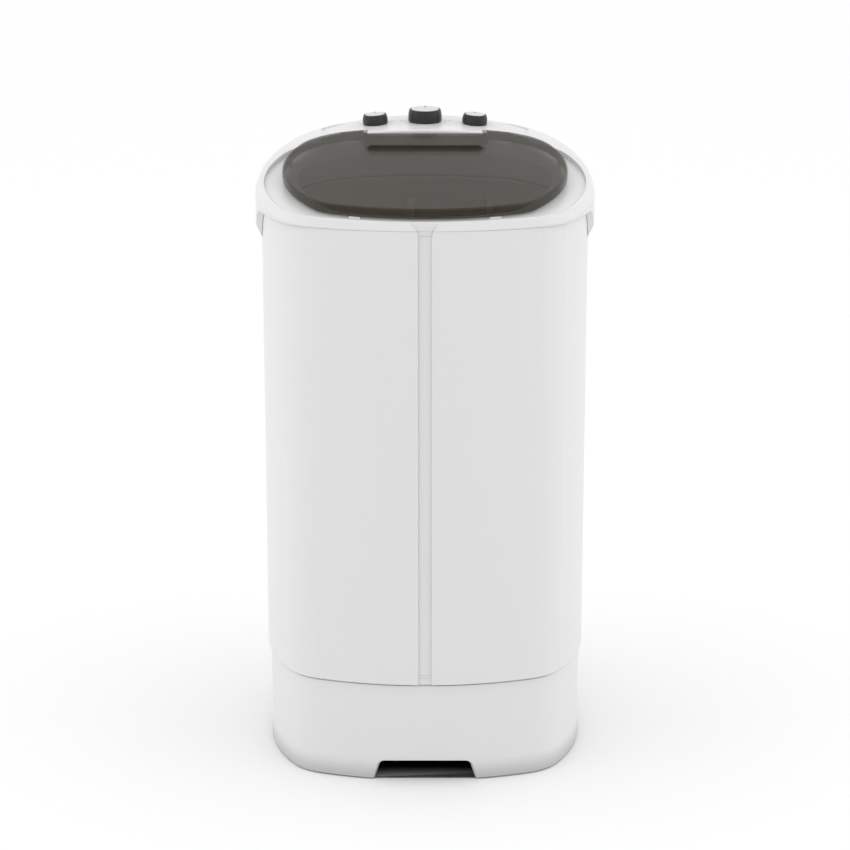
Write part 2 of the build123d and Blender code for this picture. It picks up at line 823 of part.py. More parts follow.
def bearing_housing():
    flange_top = pan_bottom
    flange_low = flange_top - housing_flange_thickness
    body = drum(housing_flange, flange_low, flange_top, 0, tub_y)
    body = fillet(body.edges().filter_by(GeomType.CIRCLE), 1)
    body += drum(housing_radius, housing_low, flange_low + 1, 0, tub_y)
    body += drum(housing_neck, flange_top - 1, housing_high, 0, tub_y)
    for index in range(4):
        height = flange_low - housing_low - housing_web_drop
        corner = housing_flange - 4
        web = Polyline((housing_radius - 2, 0), (corner, 0), (housing_radius - 2, -height), close=True)
        rib = extrude(Plane.XZ * make_face(web), tub_wall, both=True)
        body += Pos(0, tub_y, flange_low + 0.5) * Rot(0, 0, 90 * index) * rib
    body -= drum(bushing_outer + pin_gap, housing_low - 1, housing_high - seal_height, 0, tub_y)
    body -= drum(seal_outer + pin_gap, housing_high - seal_height, housing_high + 1, 0, tub_y)
    for x, y in housing_screw_places():
        body -= drum(screw_hole_radius, flange_low - 1, flange_top + 1, x, y)
    return body


def shaft_bushings():
    high = housing_high - seal_height
    place = (0, tub_y)
    bore = shaft_radius + pin_gap
    lower = tube(bushing_outer, bore, housing_low, housing_low + bushing_height, *place)
    upper = tube(bushing_outer, bore, high - bushing_height, high, *place)
    return [lower, upper]


def shaft_seal():
    low = housing_high - seal_height
    return tube(seal_outer, shaft_radius + pin_gap, low, housing_high, 0, tub_y)


def drive_shaft():
    shaft = drum(shaft_radius, pulley_top + fit_gap, shaft_shoulder, 0, tub_y)
    shaft += drum(shaft_neck, pulley_level - 1.4 * pulley_thickness, pulley_top + 1, 0, tub_y)
    shaft += drum(shaft_neck, shaft_shoulder - 1, shaft_high, 0, tub_y)
    ends = shaft.faces().filter_by(GeomType.PLANE).sort_by(Axis.Z)
    shaft = chamfer(ends[0].edges() + ends[-1].edges(), 0.8)
    shaft -= drum(screw_radius + pin_gap, shaft_high - pulsator_screw_depth, shaft_high + 1, 0, tub_y)
    return shaft


def grooved_wheel(radius, low, high, bore, x, y):
    wheel = drum(radius, low, high, x, y)
    middle = (low + high) / 2
    half = belt_width / 2 + fit_gap
    groove = tube(radius + 1, radius - groove_radial, middle - half, middle + half, x, y)
    return wheel - groove - drum(bore, low - 1, high + 1, x, y)


def driven_pulley():
    low = pulley_level - pulley_thickness / 2
    wheel = grooved_wheel(driven_pulley_radius, low, pulley_top, shaft_neck + pin_gap, 0, tub_y)
    rim_inner = driven_pulley_radius - groove_radial - tub_wall
    turn = 360 / pulley_spokes
    half_turn = math.radians(turn / 2)
    reach = 2 * rim_inner
    spread = reach * math.tan(half_turn)
    wedge = make_face(Polyline((0, 0), (reach, -spread), (reach, spread), close=True))
    ring = Circle(rim_inner) - Circle(pulley_hub)
    window = ring & (Pos(pulley_spoke_half / math.sin(half_turn), 0) * wedge)
    window = fillet(window.vertices(), pulley_window_radius)
    for index in range(pulley_spokes):
        wheel -= prism(Pos(0, tub_y) * Rot(0, 0, turn * index) * window, low - 1, pulley_top + 1)
    hub_low = low - pulley_thickness / 4
    wheel += tube(pulley_hub - 2, shaft_neck + pin_gap, hub_low, low + 1, 0, tub_y)
    return wheel


def pulley_nut():
    high = pulley_level - pulley_thickness / 2 - pulley_thickness / 4
    nut = prism(Pos(0, tub_y) * RegularPolygon(nut_radius, 6), high - nut_height, high)
    return nut - drum(shaft_neck + pin_gap, high - nut_height - 1, high + 1, 0, tub_y)


def pulsator_form(drop=0.0, shrink=0.0):
    rim = pulsator_radius - shrink
    base = pulsator_low - drop
    points = [
        (0, base), (rim, base), (rim, base + pulsator_rim),
        (pulsator_slope_start, base + pulsator_rise / 2),
        (pulsator_hub + collar_wall - shrink, base + pulsator_dome), (0, base + pulsator_dome + 2),
    ]
    face = make_face(Polyline(*points, close=True))
    bend = [v for v in face.vertices() if v.X > 1 and v.Y > base + 1 and v.X < rim - 1]
    face = fillet(bend, pulsator_fillet)
    return Pos(0, tub_y, 0) * revolve(Plane.XZ * face, Axis.Z)


def pulsator():
    disc = pulsator_form() - pulsator_form(collar_wall, collar_wall)
    low = pulsator_low
    for index in range(pulsator_vanes):
        start = (pulsator_hub, 0)
        tip = (pulsator_radius - vane_taper, pulsator_sweep)
        inner = ThreePointArc(start, (pulsator_radius / 2, pulsator_sweep * 0.35), tip)
        outer = ThreePointArc(tip, (pulsator_radius / 2, pulsator_sweep * 1.25), start)
        crescent = make_face(inner + outer)
        vane = extrude(Pos(0, 0, low + pulsator_rim / 2) * crescent, vane_height, taper=vane_taper)
        vane = Pos(0, tub_y) * Rot(0, 0, 360 / pulsator_vanes * index) * vane
        disc += vane - pulsator_form(collar_wall, collar_wall)
    hub = drum(pulsator_hub, shaft_shoulder, low + pulsator_dome, 0, tub_y)
    disc += hub
    for index in range(2 * pulsator_vanes):
        web = Pos((pulsator_hub + pulsator_radius) / 2, 0, low + collar_wall / 2 + 1)
        web = web * Box(pulsator_radius - pulsator_hub, collar_wall - 1, pulsator_rim - 1)
        disc += (Pos(0, tub_y) * Rot(0, 0, 180 / pulsator_vanes * (index + 0.5)) * web) & pulsator_form()
    disc -= drum(housing_neck + 4, low - 1, shaft_shoulder, 0, tub_y)
    disc -= drum(shaft_neck + pin_gap, shaft_shoulder - 1, shaft_high + fit_gap, 0, tub_y)
    disc -= drum(screw_radius + 1, shaft_high, low + pulsator_dome + 4, 0, tub_y)
    disc -= drum(cap_radius + fit_gap, low + pulsator_dome - cap_height, low + pulsator_dome + 4, 0, tub_y)
    return disc


def pulsator_cap():
    low = pulsator_low + pulsator_dome - cap_height + screw_head_height + 1
    cap = drum(cap_radius, low, low + cap_height, 0, tub_y)
    return fillet(cap.faces().sort_by(Axis.Z)[-1].edges(), cap_height / 3)


def pulsator_screw():
    seat = pulsator_low + pulsator_dome - cap_height
    length = seat - shaft_high + pulsator_screw_depth - 2
    return Pos(0, tub_y, seat) * Rot(180, 0, 0) * screw(length, 0)


def motor_bracket():
    # A pressed channel under the tub that carries the bearing housing and the motor.
    front = tub_y - bracket_front
    rear = motor_y + bracket_rear
    plate = RectangleRounded(2 * bracket_half, rear - front, notch_corner_radius)
    plate = Pos(0, (front + rear) / 2) * plate
    body = prism(plate, bracket_z, bracket_z + bracket_thickness)
    for side in (-1, 1):
        x = side * (bracket_half - bracket_thickness / 2)
        fin = Box(bracket_thickness, rear - front - 4 * notch_corner_radius, bracket_lip)
        body += Pos(x, (front + rear) / 2, bracket_z + bracket_thickness - bracket_lip / 2) * fin
    low = bracket_z - 1
    high = bracket_z + bracket_thickness + 1
    body -= drum(housing_radius + 4, low, high, 0, tub_y)
    for index in range(4):
        web = Pos(housing_flange / 2, 0) * Rectangle(housing_flange, 4 * tub_wall)
        body -= prism(Pos(0, tub_y) * Rot(0, 0, 90 * index) * web, low, high)
    for x, y in housing_screw_places() + bracket_screw_places():
        body -= drum(screw_hole_radius, low, high, x, y)
    for x, y in motor_stud_places():
        slot = Pos(x, y) * SlotOverall(2 * damper_bore + slot_travel, 2 * damper_bore, rotation=90)
        body -= prism(slot, low, high)
    body -= prism(Pos(0, motor_y) * Circle(motor_radius - 26), low, high)
    return body


def motor_stud_places():
    return [(x, motor_y + y) for x in (-motor_stud, motor_stud) for y in (-motor_stud, motor_stud)]


def motor_dampers():
    # Rubber washers between the bracket and the motor's end frame
    parts = []
    for x, y in motor_stud_places():
        parts.append(tube(damper_radius, damper_bore, motor_high, bracket_z, x, y))
    return parts


def motor_bolts():
    parts = []
    for x, y in motor_stud_places():
        bottom = bracket_z + bracket_thickness
        bolt = drum(damper_bore - fit_gap, motor_high - motor_lug, bottom + bolt_head, x, y)
        head = prism(Pos(x, y) * RegularPolygon(damper_radius - 2, 6), bottom, bottom + bolt_head)
        parts.append(bolt + head)
    return parts


def motor_housing():
    body = drum(motor_radius, motor_low, motor_high - motor_lug, 0, motor_y)
    body = fillet(body.edges().filter_by(GeomType.CIRCLE), motor_edge_radius)
    for index in range(motor_fins):
        height = motor_high - motor_low - motor_lug - 4 * motor_edge_radius
        fin = Pos(motor_radius, 0, (motor_low + motor_high - motor_lug) / 2)
        fin = fin * Box(2 * motor_fin_reach, collar_wall, height)
        body += Pos(0, motor_y) * Rot(0, 0, 360 / motor_fins * index) * fin
    across = 2 * (motor_stud + damper_radius)
    frame = Pos(0, motor_y) * RectangleRounded(across, across, damper_radius)
    body += prism(frame, motor_high - motor_lug, motor_high)
    for x, y in motor_stud_places():
        body -= drum(damper_bore, motor_low - 1, motor_high + 1, x, y)
    cavity_high = motor_high - motor_lug - motor_edge_radius
    body -= drum(rotor_radius, motor_low + motor_edge_radius, cavity_high, 0, motor_y)
    body -= drum(motor_shaft_radius + pin_gap, motor_low - 1, motor_high - motor_lug, 0, motor_y)
    return body


def motor_shaft():
    rotor_low = motor_low + motor_edge_radius + 2
    rotor_high = motor_high - motor_lug - motor_edge_radius - 2
    low = pulley_level - pulley_thickness
    shaft = drum(motor_shaft_radius, low, motor_high - motor_lug - 1, 0, motor_y)
    shaft += drum(rotor_radius - 1, rotor_low, rotor_high, 0, motor_y)
    end = shaft.faces().filter_by(GeomType.PLANE).sort_by(Axis.Z)[0]
    return chamfer(end.edges(), 0.8)


def motor_pulley():
    low = pulley_level - pulley_thickness / 2
    wheel = grooved_wheel(motor_pulley_radius, low, pulley_top, motor_shaft_radius + pin_gap, 0, motor_y)
    return wheel


def motor_fan():
    low = pulley_top + 2
    fan = tube(fan_hub, motor_shaft_radius + pin_gap, low, low + fan_height, 0, motor_y)
    fan += tube(fan_radius, motor_shaft_radius + pin_gap, low, low + 2, 0, motor_y)
    for index in range(fan_blades):
        blade = Pos((fan_hub + fan_radius) / 2, 0, low + fan_height / 2)
        blade = blade * Rot(0, 0, 20) * Box(fan_radius - fan_hub, 2, fan_height)
        fan += Pos(0, motor_y) * Rot(0, 0, 360 / fan_blades * index) * blade
    return fan & drum(fan_radius, low, low + fan_height, 0, motor_y)


def belt_loop(shrink):
    big = Pos(0, tub_y) * CenterArc((0, 0), driven_pulley_radius - shrink, 0, 360)
    small = Pos(0, motor_y) * CenterArc((0, 0), motor_pulley_radius - shrink, 0, 360)
    return make_hull(big.edges() + small.edges())


def drive_belt():
    outer = belt_loop(groove_radial - fit_gap - belt_thickness)
    inner = belt_loop(groove_radial - fit_gap)
    return prism(outer - inner, pulley_level - belt_width / 2, pulley_level + belt_width / 2)


def capacitor():
    body = drum(capacitor_radius, capacitor_low, capacitor_high, capacitor_x, motor_y)
    body = fillet(body.faces().sort_by(Axis.Z)[0].edges(), 3)
    for side in (-1, 1):
        tab = Pos(capacitor_x + side * capacitor_radius / 2, motor_y, capacitor_high + 4) * Box(6, 1, 8)
        body += tab
    return body


def capacitor_clip():
    low = capacitor_high - clip_height - 6
    bore = capacitor_radius + fit_gap
    ring = tube(bore + clip_thickness, bore, low, low + clip_height, capacitor_x, motor_y)
    tab_high = bracket_z + bracket_thickness - 2
    tab = Pos(bracket_half + clip_thickness / 2, motor_y, (low + tab_high) / 2)
    tab = tab * Box(clip_thickness, clip_height, tab_high - low)
    reach = capacitor_x - capacitor_radius - bracket_half
    arm = Pos(bracket_half + reach / 2, motor_y, low + clip_height / 2)
    arm = arm * Box(reach, clip_arm_width, clip_height)
    arm -= drum(bore, low - 1, low + clip_height + 1, capacitor_x, motor_y)
    return ring + tab + arm


def lid_plan(shrink=0.0):
    notch = plan_box(notch_width / 2 + shrink, notch_start - shrink, collar_depth)
    return lid_outline(shrink) - notch


def lid_panel():
    bottom = ridge_z + lid_lift
    top = bottom + lid_height
    roof = console_z + cut_margin
    lid = (prism(lid_plan(), lip_z, roof) & under(top, lid_slope)) - under(bottom, lid_slope)
    upper = lid.faces().sort_by(Axis.Z)[-1]
    lid = fillet(upper.edges(), lid_edge_radius)
    inside = prism(lid_plan(lid_wall), lip_z, roof) & under(top - lid_wall, lid_slope)
    lid -= inside

    # Ears that carry the hinge pins
    axis_y = front_y + hinge_from_front
    axis_z = hinge_axis_z()
    near = tongue_width / 2 + bushing_flange + fit_gap
    far = notch_width / 2 + ear_length
    for side in (-1, 1):
        ear = Rot(0, 90, 0) * Cylinder(ear_radius, far - near)
        ear = Pos(side * (near + far) / 2, axis_y, axis_z) * ear
        lid += ear & under(top - lid_wall / 2, lid_slope)
    bore = Rot(0, 90, 0) * Cylinder(pin_radius + pin_gap / 2, notch_width + 2 * ear_length - 4)
    lid -= Pos(0, axis_y, axis_z) * bore
    return lid


def lid_hinge_pins():
    pins = []
    reach = tongue_width / 2 - bushing_length + 1
    far = notch_width / 2 + ear_length - 3
    for side in (-1, 1):
        middle = Pos(side * (reach + far) / 2, front_y + hinge_from_front, hinge_axis_z())
        pin = Rot(0, 90, 0) * Cylinder(pin_radius, far - reach)
        pins.append(middle * chamfer(pin.edges().filter_by(GeomType.CIRCLE), 0.6))
    return pins


def hinge_bushings():
    parts = []
    for side in (-1, 1):
        sleeve = Cylinder(bushing_radius - pin_gap / 2, bushing_length)
        flange = Cylinder(bushing_radius + 1, bushing_flange)
        sleeve += Pos(0, 0, side * (bushing_length + bushing_flange) / 2) * flange
        sleeve -= Cylinder(pin_radius + pin_gap, 2 * bushing_length)
        x = side * (tongue_width - bushing_length) / 2
        parts.append(Pos(x, front_y + hinge_from_front, hinge_axis_z()) * Rot(0, 90, 0) * sleeve)
    return parts


def lid_bumpers():
    # Rubber strips on the lower edge of the lid's skirt that meet the floor of the recess.
    parts = []
    edge = lid_plan(fit_gap) - lid_plan(lid_wall - fit_gap)
    for x, start in bumper_places:
        for side in (-1, 1):
            place = Pos(side * x, front_y + start) * Rectangle(bumper_length, 1.5 * bumper_length)
            strip = prism(edge & place, lip_z, console_z) & under(ridge_z + lid_lift, lid_slope)
            parts.append(strip - recess_floor(-fit_gap))
    return parts


def knob(radius, height, cap, x):
    upper = (radius - knob_draft, height)
    lower = (radius - knob_swell, 0)
    side = ThreePointArc(lower, (radius, height * knob_widest), upper)
    form = make_face(side + Polyline(upper, (0, height), (0, 0), lower))
    body = Pos(0, 0, knob_lift) * revolve(Plane.XZ * form, Axis.Z)
    body = fillet(body.edges().filter_by(GeomType.CIRCLE), knob_edge)
    top = knob_lift + height
    body -= drum(cap + pin_gap, top - knob_cap_height, top + 1)
    hollow = drum(radius - knob_draft - knob_wall, knob_lift - 1, top - knob_cap_height - knob_wall)
    hollow -= drum(knob_hub, knob_lift - 1, top)
    body -= hollow
    roof = knob_spindle_top(height)
    low = knob_lift + knob_web_drop
    reach = radius - knob_draft - knob_wall
    web = Box(reach - knob_hub + 2, knob_web, roof - low + 1)
    for index in range(4):
        body += Rot(0, 0, 90 * index) * Pos((reach + knob_hub) / 2, 0, (roof + low + 1) / 2) * web
    body -= drum(spindle_radius + spindle_gap, knob_lift - 1, knob_spindle_top(height) + fit_gap)
    return knob_frame(x) * body


def knob_spindle_top(height):
    return knob_lift + height - knob_cap_height - knob_wall


def knob_cap(height, cap, x):
    top = knob_lift + height
    disc = drum(cap, top - knob_cap_height, top + knob_cap_proud)
    disc = fillet(disc.faces().sort_by(Axis.Z)[-1].edges(), knob_cap_proud)
    return knob_frame(x) * disc


def spindle(height, x):
    rod = drum(spindle_radius, -pad_depth - spindle_depth, knob_spindle_top(height))
    flat = Box(spindle_radius, 2 * spindle_radius, 2 * spindle_flat)
    return knob_frame(x) * (rod - Pos(spindle_radius, 0, knob_spindle_top(height)) * flat)


def switch_body(width, length, height, x):
    # A moulded case hung under the console, with blade terminals below it.
    case = Pos(0, 0, -pad_depth - height / 2) * Box(width, length, height)
    case = fillet(case.edges().filter_by(Axis.Z), 3)
    case -= drum(spindle_radius + spindle_gap + 0.2, -pad_depth - spindle_depth - 1, 0)
    for index in range(switch_blades):
        across = (index - (switch_blades - 1) / 2) * width / switch_blades
        case += Pos(across, 0, -pad_depth - height - blade_length / 2) * Box(blade_width, 0.8, blade_length)
    return knob_frame(x) * case


def console_overlay():
    face = console_outline(overlay_inset)
    sheet = prism(face, cabinet_top, console_z + cut_margin) & crown()
    sheet -= crown(overlay_thickness)
    for x in (-side_knob_offset, 0, side_knob_offset):
        sheet -= knob_frame(x) * Cylinder(spindle_radius + 2, 4 * pad_depth)
    return sheet


def overlay_seat():
    face = console_outline(overlay_inset - 0.2)
    return prism(face, cabinet_top, console_z + cut_margin) - crown(overlay_thickness + 0.05)


def filter_view(grow=0.0):
    # Seen from the front: square on the right, drawn in on the left.
    left = filter_left - grow
    right = filter_right + grow
    low = filter_top - filter_length - grow
    high = filter_top + grow
    corners = ((left, high), (left + filter_lean, low), (right, low), (right, high))
    return make_face(Polyline(*corners, close=True))


def filter_frame():
    face = filter_view()
    slot_x = filter_right - filter_slot / 2 - filter_border / 2
    slot = Pos(slot_x, filter_top - filter_border - fit_gap) * SlotOverall(filter_slot, filter_slot_height)
    window = offset(face, -filter_border)
    below_slot = Rectangle(collar_width, filter_length)
    window &= Pos(0, filter_top - 3 * filter_border - filter_length / 2) * below_slot
    plate = extrude(Pos(0, filter_y, 0) * (Plane.XZ * (face - slot - window)), filter_thickness)
    for index in range(1, filter_bars):
        height = filter_top - filter_border - index * filter_length / filter_bars
        bar = Pos(0, height) * Rectangle(collar_width, filter_border / 5)
        bar = extrude(Pos(0, filter_y, 0) * (Plane.XZ * (bar & window)), filter_thickness)
        plate += bar
    return plate


def filter_mesh():
    face = offset(filter_view(), -filter_border / 2)
    below_slot = Rectangle(collar_width, filter_length)
    face &= Pos(0, filter_top - 2.5 * filter_border - filter_length / 2) * below_slot
    return extrude(Pos(0, filter_y + filter_mesh_thickness, 0) * (Plane.XZ * face), filter_mesh_thickness)


def filter_housing():
    # A trough on the tub's rear wall with a lip on each side that holds the filter.
    rise = Pos(0, filter_travel)
    front = filter_y - filter_thickness - fit_gap
    below_top = Pos(0, filter_top - filter_length) * Rectangle(collar_width, 2 * filter_length)
    block = Plane.XZ * (filter_view(filter_rim) & below_top)
    body = extrude(Pos(0, front - filter_lip, 0) * block, -2 * tub_radius)
    body &= basin(-fit_gap)
    channel = filter_view(fit_gap) + rise * filter_view(fit_gap)
    depth = filter_thickness + filter_mesh_thickness + 2 * fit_gap
    body -= extrude(Pos(0, front, 0) * (Plane.XZ * channel), -depth)
    opening = filter_view(-filter_lip_width)
    opening += rise * opening
    body -= extrude(Pos(0, front - 2 * filter_lip, 0) * (Plane.XZ * opening), -3 * filter_lip)
    throat = extrude(Pos(0, front, 0) * (Plane.XZ * filter_view(-filter_lip_width)), -2 * tub_radius)
    behind = Pos(0, front + depth + collar_wall, 0) * (Plane.XZ * filter_view(filter_rim - collar_wall))
    trough = throat + extrude(behind, -2 * tub_radius)
    body -= trough & basin(-fit_gap - collar_wall)
    return body


def terminal_box():
    rear = motor_y + motor_radius
    depth = front_y + harness_from_front + terminal_width / 2 - rear + motor_edge_radius
    middle = (rear - motor_edge_radius) + depth / 2
    high = motor_high - 2 * motor_lug
    box = Pos(harness_x, middle, high - terminal_height / 2) * Box(terminal_width, depth, terminal_height)
    return box - drum(motor_radius - 2, motor_low, motor_high, 0, motor_y)


def wiring_harness():
    top = console_z - pad_depth - timer_height - blade_length - 2
    bend = 3 * harness_radius
    route = [
        (harness_x, front_y + harness_top_from_front, top),
        (harness_x, front_y + harness_top_from_front, plate_z - 2 * bend),
        (harness_x, front_y + harness_from_front, plate_z - 5 * bend),
        (harness_x, front_y + harness_from_front, motor_high - 2 * motor_lug),
    ]
    path = FilletPolyline(*route, radius=bend)
    start = Plane(origin=path @ 0, z_dir=path % 0)
    return sweep(start * Circle(harness_radius), path=path)


def harness_clips():
    parts = []
    place = front_y + harness_from_front
    for level in harness_clip_levels:
        length = harness_from_front - tub_centre - tub_radius + 3 * tub_draft
        clip = Pos(harness_x, place - length / 2 + 2 * harness_radius, level)
        clip = clip * Box(4 * harness_radius, length, 3 * harness_radius)
        clip -= drum(harness_radius + 0.1, 0, console_z, harness_x, place)
        throat = Pos(harness_x, place + 1.5 * harness_radius, level)
        clip -= throat * Box(1.6 * harness_radius, 3 * harness_radius, 4 * harness_radius)
        parts.append(clip - basin(tub_wall + fit_gap))
    return parts


def hose_route():
    low = rear_flat_z
    return [
        (drain_x, drain_y, pan_bottom - fit_gap),
        (drain_x, drain_y, low),
        (outlet_x, rear_flat_y - 2 * hose_bend, low),
        (outlet_x, rear_flat_y - fit_gap, low),
    ]


def inner_drain_hose():
    path = FilletPolyline(*hose_route(), radius=hose_bend)
    start = Plane(origin=path @ 0, z_dir=path % 0)
    return sweep(start * (Circle(hose_radius) - Circle(drain_radius + 0.1)), path=path)


def hose_clamps():
    ring = Circle(hose_radius + clamp_thickness) - Circle(hose_radius + 0.1)
    band = extrude(ring, clamp_width)
    ear = Pos(0, hose_radius + 3, clamp_width / 2) * (Box(7, 6, clamp_width) - Box(2, 8, clamp_width))
    band += ear - Cylinder(hose_radius + 0.1, 4 * clamp_width)
    upper = Pos(drain_x, drain_y, pan_bottom - drain_length + 1) * Rot(0, 0, 90) * band
    lower = Pos(outlet_x, rear_flat_y - outlet_inner + 4, rear_flat_z)
    lower = lower * Rot(90, 0, 0) * Rot(0, 0, 180) * band
    return [upper, lower]


def screws_up(places, head_z, length):
    return [Pos(x, y, head_z) * screw(length, 0) for x, y in places]


def case_screws():
    flip = Rot(180, 0, 0)
    top = flange_z + cabinet_wall
    return [Pos(x, y, top) * flip * screw(boss_height / 2, 0) for x, y in screw_places(case_screw_inset)]


save("base_skirt", base_skirt())
save("foot_pads", *foot_pads())
save("rear_cover", rear_cover())
save("cover_screws", *cover_screws())
save("drain_outlet", drain_outlet())
save("cord_gland", cord_gland())
save("cabinet_shell", cabinet_shell())
save("case_screws", *case_screws())
save("top_deck", top_deck())
save("deck_screws", *screws_up(screw_places(deck_screw_inset), plate_z - cabinet_wall, 2 * boss_radius))
save("console_overlay", console_overlay())
save("tub", tub())
save("tub_gasket", tub_gasket())
save("bearing_housing", bearing_housing())
save("housing_screws", *screws_up(housing_screw_places(), bracket_z, 14))
save("shaft_bushings", *shaft_bushings())
save("shaft_seal", shaft_seal())
save("drive_shaft", drive_shaft())
save("driven_pulley", driven_pulley())
save("pulley_nut", pulley_nut())
save("pulsator", pulsator())
save("pulsator_cap", pulsator_cap())
save("pulsator_screw", pulsator_screw())
save("motor_bracket", motor_bracket())
save("bracket_screws", *screws_up(bracket_screw_places(), bracket_z, 8))
save("motor_dampers", *motor_dampers())
save("motor_bolts", *motor_bolts())
save("motor_housing", motor_housing() + terminal_box())
save("motor_shaft", motor_shaft())
save("motor_pulley", motor_pulley())
save("motor_fan", motor_fan())
save("drive_belt", drive_belt())
save("capacitor", capacitor())
save("capacitor_clip", capacitor_clip())
save("inner_drain_hose", inner_drain_hose())
save("hose_clamps", *hose_clamps())
save("wiring_harness", wiring_harness())
save("harness_clips", *harness_clips())
save("filter_housing", filter_housing())
save("filter_frame", filter_frame())
save("filter_mesh", filter_mesh())
save("lid_panel", lid_panel())
save("lid_hinge_pins", *lid_hinge_pins())
save("hinge_bushings", *hinge_bushings())
save("lid_bumpers", *lid_bumpers())
save("timer_body", switch_body(timer_size, timer_size, timer_height, 0))
save("timer_spindle", spindle(knob_height, 0))
save("timer_knob", knob(knob_radius, knob_height, knob_cap_radius, 0))
save("timer_knob_cap", knob_cap(knob_height, knob_cap_radius, 0))
for side, x in (("level", -side_knob_offset), ("mode", side_knob_offset)):
    save(side + "_switch_body", switch_body(switch_size, switch_size, switch_height, x))
    save(side + "_spindle", spindle(side_knob_height, x))
    save(side + "_knob", knob(side_knob_radius, side_knob_height, side_knob_cap_radius, x))
    save(side + "_knob_cap", knob_cap(side_knob_height, side_knob_cap_radius, x))
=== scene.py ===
import bpy
import math
from mathutils import Matrix, Vector


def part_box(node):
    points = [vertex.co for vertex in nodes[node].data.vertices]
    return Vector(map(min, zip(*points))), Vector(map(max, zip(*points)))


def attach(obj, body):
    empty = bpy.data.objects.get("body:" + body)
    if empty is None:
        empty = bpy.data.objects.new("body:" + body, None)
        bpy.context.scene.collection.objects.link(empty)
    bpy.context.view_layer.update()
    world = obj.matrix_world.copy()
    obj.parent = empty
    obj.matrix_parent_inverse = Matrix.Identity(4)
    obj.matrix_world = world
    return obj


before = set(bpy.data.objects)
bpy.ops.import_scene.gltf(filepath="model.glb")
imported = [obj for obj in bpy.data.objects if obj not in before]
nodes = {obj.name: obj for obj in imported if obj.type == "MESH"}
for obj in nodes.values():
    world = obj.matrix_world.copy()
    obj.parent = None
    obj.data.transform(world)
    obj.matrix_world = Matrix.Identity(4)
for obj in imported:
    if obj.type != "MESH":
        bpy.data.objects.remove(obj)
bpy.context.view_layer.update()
scene = bpy.context.scene
print("frame loaded:", len(nodes), "nodes")


# small steps that build the node trees
def setSocket(node, name, value):
    node.inputs[name].default_value = value


def addNode(tree, kind, **sockets):
    # an underscore in a keyword stands for the space in the socket's name
    node = tree.nodes.new(kind)
    for name, value in sockets.items():
        setSocket(node, name.replace("_", " "), value)
    return node


def mathNode(tree, operation, *values):
    # each value is a plain number or another node's output
    node = tree.nodes.new("ShaderNodeMath")
    node.operation = operation
    for socket, value in zip(node.inputs, values):
        if isinstance(value, (int, float)):
            socket.default_value = value
        else:
            tree.links.new(value, socket)
    return node.outputs[0]


def emptyMaterial(name):
    mat = bpy.data.materials.new(name)
    mat.use_nodes = True
    return mat, mat.node_tree, mat.node_tree.nodes["Principled BSDF"]


def objectCoords(tree, stretch=(1, 1, 1)):
    # Object coordinates, stretched where a finish has a direction
    coords = tree.nodes.new("ShaderNodeTexCoord")
    mapping = addNode(tree, "ShaderNodeMapping", Scale=stretch)
    tree.links.new(coords.outputs["Object"], mapping.inputs["Vector"])
    return mapping.outputs["Vector"]


def noise(tree, vector, scale, detail=2.0):
    node = addNode(tree, "ShaderNodeTexNoise", Scale=scale, Detail=detail)
    tree.links.new(vector, node.inputs["Vector"])
    return node.outputs["Fac"]


def colourMix(tree):
    # inputs of a colour mix: 0 the amount, 6 and 7 the two colours; output 2 the result
    mix = tree.nodes.new("ShaderNodeMix")
    mix.data_type = "RGBA"
    return mix


def mixColours(tree, amount, first, second):
    mix = colourMix(tree)
    mix.inputs[6].default_value = (*first, 1)
    mix.inputs[7].default_value = (*second, 1)
    tree.links.new(amount, mix.inputs[0])
    return mix.outputs[2]


def spanned(tree, value, low, high):
    ramp = addNode(tree, "ShaderNodeMapRange", To_Min=low, To_Max=high)
    tree.links.new(value, ramp.inputs["Value"])
    return ramp.outputs["Result"]


def tinted(tree, shader, amount, look):
    colour = mixColours(tree, amount, look["dark"], look["light"])
    tree.links.new(colour, shader.inputs["Base Color"])


def wanderingSheen(tree, shader, amount, look):
    # the roughness wanders between two shares of its plain value
    least, most = [look["rough"] * share for share in look["sheen"]]
    tree.links.new(spanned(tree, amount, least, most), shader.inputs["Roughness"])


edgeSamples = 4  # how finely a rounded edge is looked for


def bumped(tree, shader, height, strength, distance, edge=None):
    # fine relief; edge rounds the sharp corners of a moulding in the shading
    bump = addNode(tree, "ShaderNodeBump", Strength=strength, Distance=distance)
    tree.links.new(height, bump.inputs["Height"])
    if edge:
        bevel = addNode(tree, "ShaderNodeBevel", Radius=edge)
        bevel.samples = edgeSamples
        tree.links.new(bevel.outputs["Normal"], bump.inputs["Normal"])
    tree.links.new(bump.outputs["Normal"], shader.inputs["Normal"])


def paintedLowShade(tree, colour, look):
    # painted shade that greys the colour more and more towards the floor, over the lowest centimetres,
    # where the lower edge is in shade
    coords = tree.nodes.new("ShaderNodeTexCoord")
    parts = tree.nodes.new("ShaderNodeSeparateXYZ")
    tree.links.new(coords.outputs["Object"], parts.inputs[0])
    shadeFade = addNode(tree, "ShaderNodeMapRange", From_Min=0.0, From_Max=look["lowShadeTo"],
                   To_Min=look["lowShadeLevel"], To_Max=1.0)
    shadeFade.interpolation_type = "SMOOTHSTEP"
    tree.links.new(parts.outputs["Z"], shadeFade.inputs["Value"])
    lowShaded = colourMix(tree)
    lowShaded.blend_type = "MULTIPLY"
    lowShaded.inputs[0].default_value = 1.0
    tree.links.new(colour, lowShaded.inputs[6])
    tree.links.new(shadeFade.outputs["Result"], lowShaded.inputs[7])
    return lowShaded.outputs[2]


plasticLook = dict(spread=0.02, driftScale=7.0, driftDetail=3.0, smearScale=28.0, smearDetail=4.0,
                   sheen=(0.85, 1.15), grainScale=1100.0, grainDepth=0.06, grainHeight=0.0004, edge=None,
                   specular=0.5)


